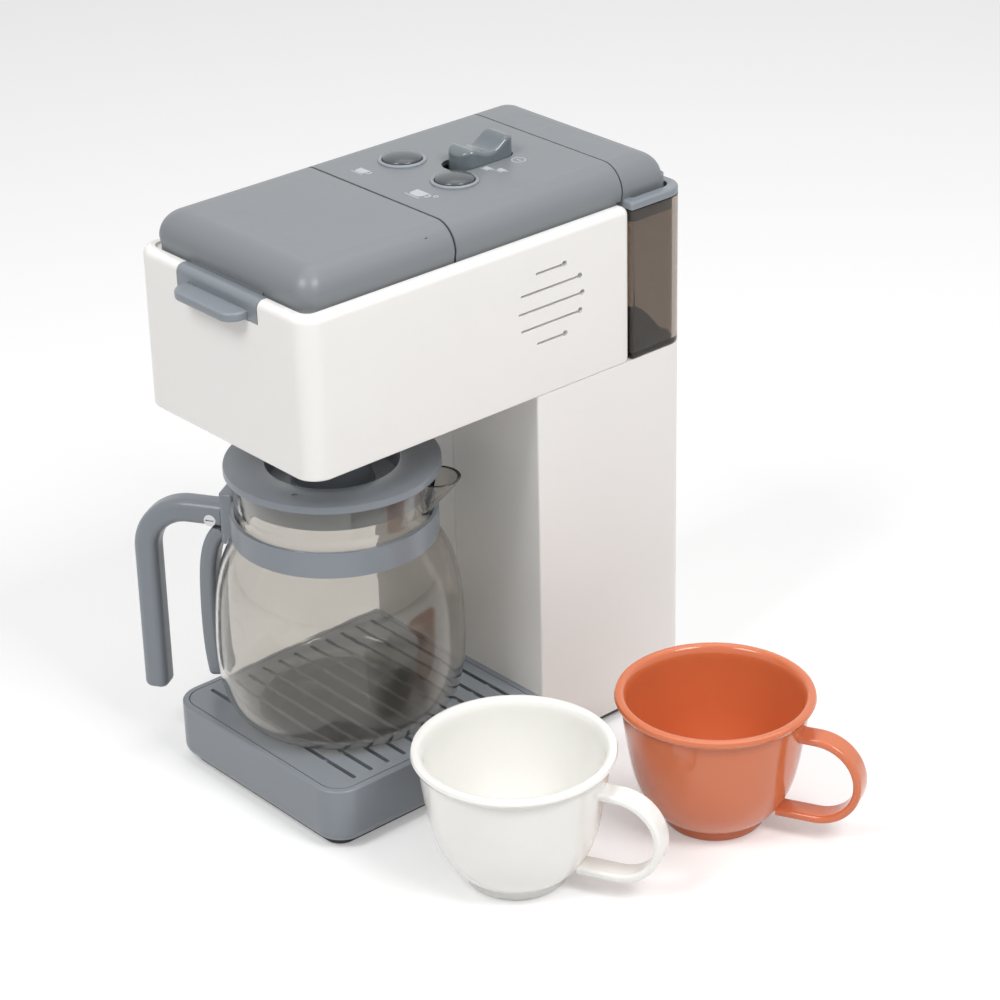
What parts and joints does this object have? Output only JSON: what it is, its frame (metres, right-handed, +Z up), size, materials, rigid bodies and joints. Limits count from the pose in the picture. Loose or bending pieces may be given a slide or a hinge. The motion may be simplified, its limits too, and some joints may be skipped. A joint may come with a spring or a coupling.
{
  "type": "toy coffee maker",
  "caption": "Toy coffee maker with hinged filter lid, push buttons, slide switch, lift-out tank, drip tray, lidded jug and loose cups.",
  "frame": {"origin": "centre of the machine's footprint, on the floor at the underside of the base plate", "axes": "+Z up, the front with the jug bay faces -Y, the water tank is at +Y, the sound grille is on the +X side"},
  "size_m": [0.2406, 0.183, 0.228],
  "materials": {
    "white_plastic": "satin",
    "grey_plastic": "satin",
    "dark_plastic": "matte",
    "black_plastic": "matte",
    "bezel_plastic": "gloss",
    "button_plastic": "gloss",
    "basket_plastic": "satin",
    "board": "satin",
    "speaker_metal": "satin",
    "steel": "satin",
    "cell": "gloss",
    "smoked_clear": "clear",
    "jug_clear": "clear",
    "cup_white": "gloss",
    "cup_terracotta": "gloss"
  },
  "bodies": {
    "machine": {"base_plate": "dark_plastic", "left_housing": "white_plastic", "right_housing": "white_plastic", "front_cover": "white_plastic", "drip_tray": "grey_plastic", "control_deck": "grey_plastic", "lid_hinge_bracket": "white_plastic", "left_bezel": "bezel_plastic", "right_bezel": "bezel_plastic", "left_button_spring": "steel", "right_button_spring": "steel", "left_tact_switch": "black_plastic", "right_tact_switch": "black_plastic", "slide_switch": "steel", "circuit_board": "board", "speaker": "speaker_metal", "filter_basket": "basket_plastic", "drip_nozzle": "grey_plastic", "battery_box": "white_plastic", "front_battery_cell": "cell", "rear_battery_cell": "cell", "left_battery_contact": "steel", "right_battery_contact": "steel", "battery_door": "dark_plastic", "battery_door_screw": "steel", "front_left_screw": "steel", "front_right_screw": "steel", "rear_left_screw": "steel", "rear_right_screw": "steel"},
    "front_lid": {"front_lid": "grey_plastic", "lid_lift_tab": "grey_plastic", "left_lid_pin": "steel", "right_lid_pin": "steel"},
    "left_button": {"left_button": "button_plastic"},
    "right_button": {"right_button": "button_plastic"},
    "switch_knob": {"switch_knob": "button_plastic"},
    "water_tank": {"water_tank": "smoked_clear", "tank_collar": "grey_plastic", "tank_insert": "dark_plastic"},
    "tank_lid": {"tank_lid": "grey_plastic"},
    "drip_grate": {"drip_grate": "grey_plastic"},
    "jug": {"jug_body": "jug_clear", "jug_band": "grey_plastic", "jug_grip_bar": "grey_plastic", "jug_handle": "grey_plastic", "jug_handle_screw": "steel"},
    "jug_lid": {"jug_lid": "grey_plastic"},
    "white_cup": {"white_cup": "cup_white"},
    "terracotta_cup": {"terracotta_cup": "cup_terracotta"}
  },
  "joints": [
    {"name": "front_lid_hinge", "type": "hinge", "parent": "machine", "child": "front_lid", "pos_m": [0, -0.0285, 0.217], "axis": [-1, 0, 0], "range_deg": [0, 80]},
    {"name": "left_button_press", "type": "slide", "parent": "machine", "child": "left_button", "axis": [0, 0, -1], "range_m": [0, 0.002], "stiffness_N_per_m": 150, "springref_m": -0.002, "deforming": ["left_button_spring"]},
    {"name": "right_button_press", "type": "slide", "parent": "machine", "child": "right_button", "axis": [0, 0, -1], "range_m": [0, 0.002], "stiffness_N_per_m": 150, "springref_m": -0.002, "deforming": ["right_button_spring"]},
    {"name": "switch_slide", "type": "slide", "parent": "machine", "child": "switch_knob", "axis": [0, -1, 0], "range_m": [0, 0.003]},
    {"name": "tank_lift", "type": "slide", "parent": "machine", "child": "water_tank", "axis": [0, 0, 1], "range_m": [0, 0.065]},
    {"name": "tank_lid_lift", "type": "slide", "parent": "water_tank", "child": "tank_lid", "axis": [0, 0, 1], "range_m": [0, 0.03]},
    {"name": "grate_lift", "type": "slide", "parent": "machine", "child": "drip_grate", "axis": [0, 0, 1], "range_m": [0, 0.008]},
    {"name": "jug_pull", "type": "slide", "parent": "drip_grate", "child": "jug", "axis": [0, -1, 0], "range_m": [0, 0.13]},
    {"name": "jug_lid_twist", "type": "hinge", "parent": "jug", "child": "jug_lid", "pos_m": [-0.0015, -0.0411, 0.1226], "axis": [0, 0, 1], "range_deg": [0, 90]},
    {"name": "white_cup_lift", "type": "slide", "parent": "machine", "child": "white_cup", "axis": [0, 0, 1], "range_m": [0, 0.06]},
    {"name": "terracotta_cup_lift", "type": "slide", "parent": "machine", "child": "terracotta_cup", "axis": [0, 0, 1], "range_m": [0, 0.06]}
  ]
}
